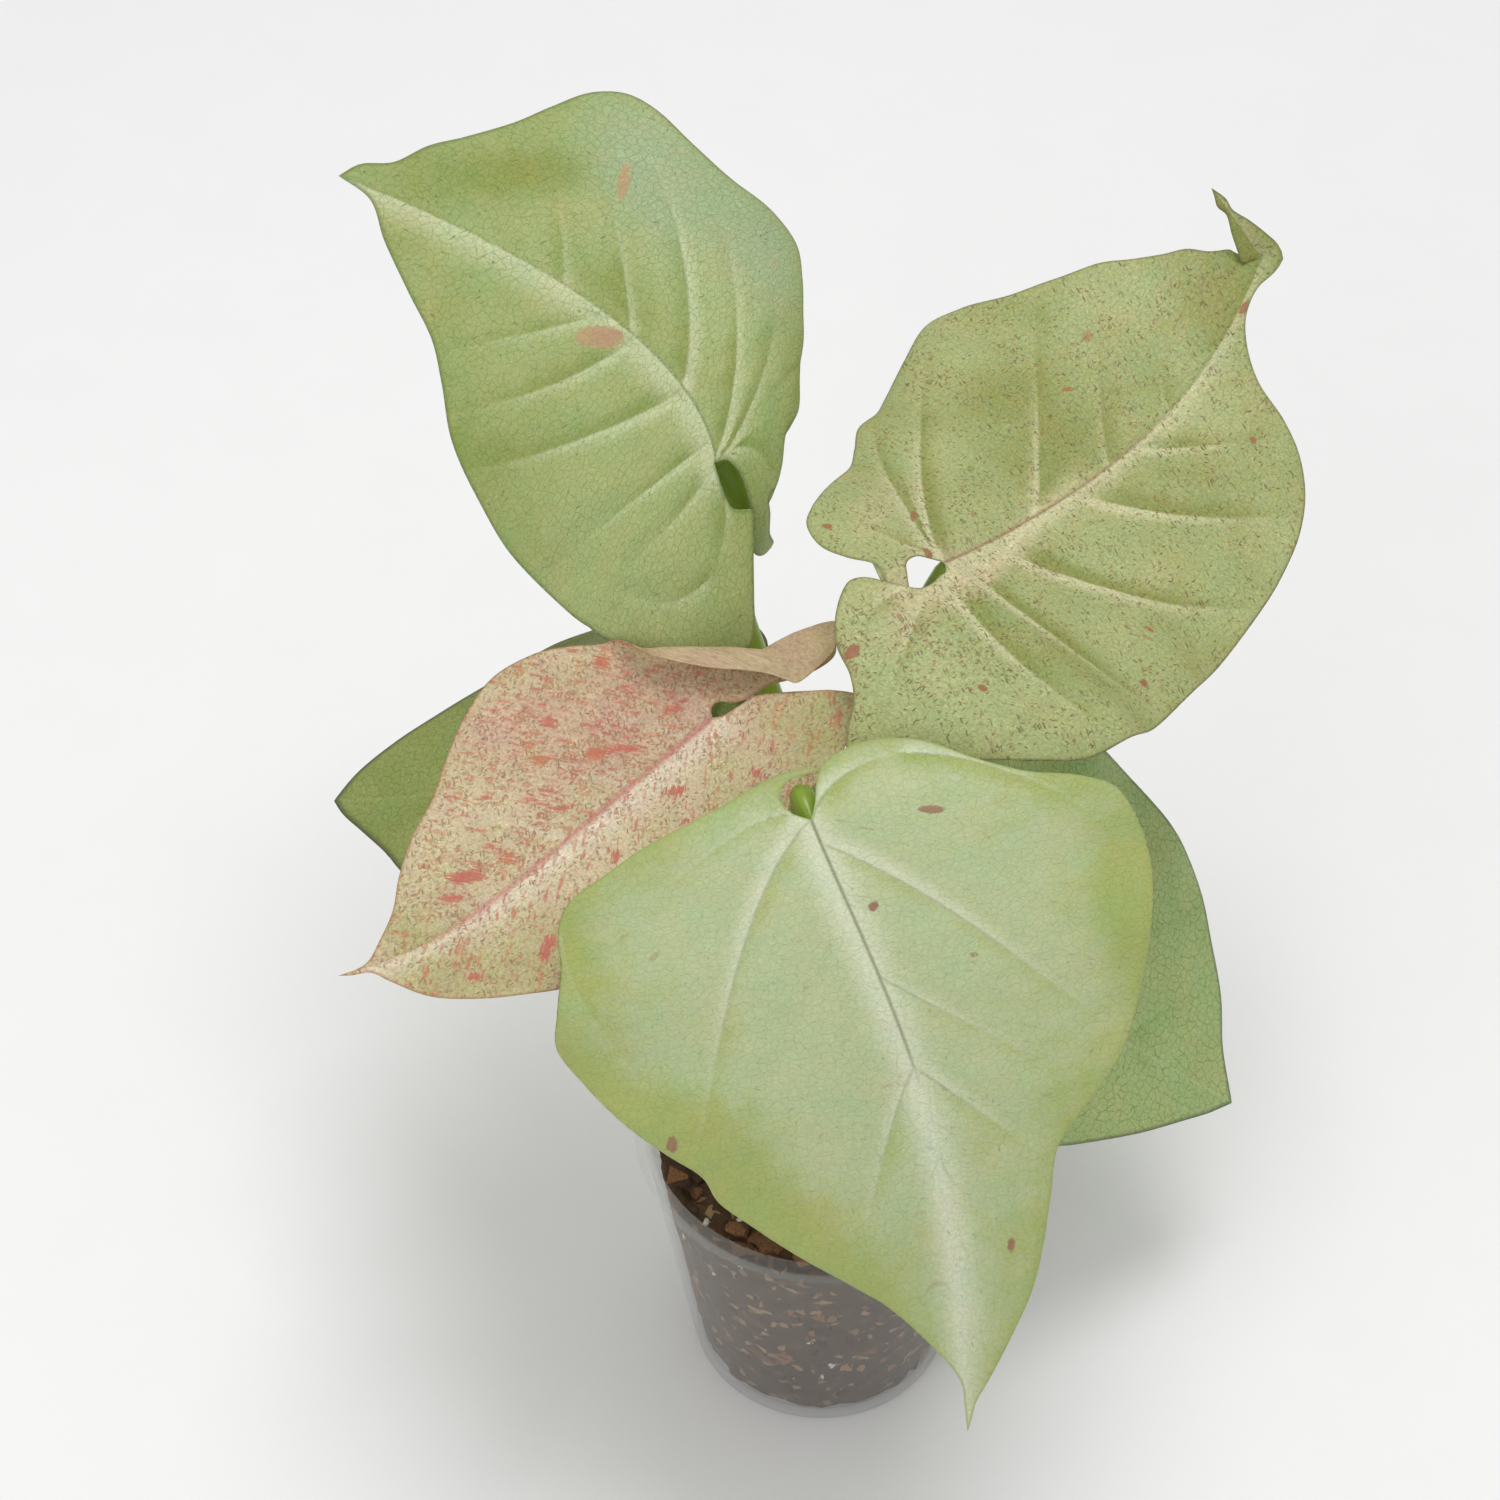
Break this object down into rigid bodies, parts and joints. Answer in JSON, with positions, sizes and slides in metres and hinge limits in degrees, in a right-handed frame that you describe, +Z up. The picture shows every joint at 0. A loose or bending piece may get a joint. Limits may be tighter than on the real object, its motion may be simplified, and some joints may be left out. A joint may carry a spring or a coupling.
{
  "type": "arrowhead plant",
  "caption": "Young arrowhead house plant: arrow-shaped variegated leaves on upright stalks, rising from potting mix in a small clear nursery pot.",
  "frame": {"origin": "centre of the pot's flat underside", "axes": "+Z up along the pot's axis, -Y towards the plant's front, +X to the right seen from the front"},
  "size_m": [0.1293, 0.1404, 0.1513],
  "materials": {
    "pot": "clear thin moulded plastic",
    "potting_mix": "loose bark and fibre mix",
    "stem": "smooth plant stem",
    "stalk": "smooth green leaf stalk",
    "leaf_back_left": "satin leaf, pale green with milky veins",
    "leaf_back_right": "satin leaf, olive with fine dark specks",
    "leaf_pink": "satin leaf, cream and pink",
    "leaf_front": "satin leaf, pale sage with white veins",
    "leaf_low_left": "satin leaf, plain green",
    "leaf_low_right": "satin leaf, netted green"
  },
  "bodies": {
    "root": {"pot": "pot", "potting_mix": "potting_mix", "stem": "stem", "blade_back_left": "leaf_back_left", "blade_back_right": "leaf_back_right", "blade_pink": "leaf_pink", "blade_front": "leaf_front", "blade_low_left": "leaf_low_left", "blade_low_right": "leaf_low_right", "stalk_back_left": "stalk", "stalk_back_right": "stalk", "stalk_pink": "stalk", "stalk_front": "stalk", "stalk_low_left": "stalk", "stalk_low_right": "stalk"}
  },
  "joints": []
}
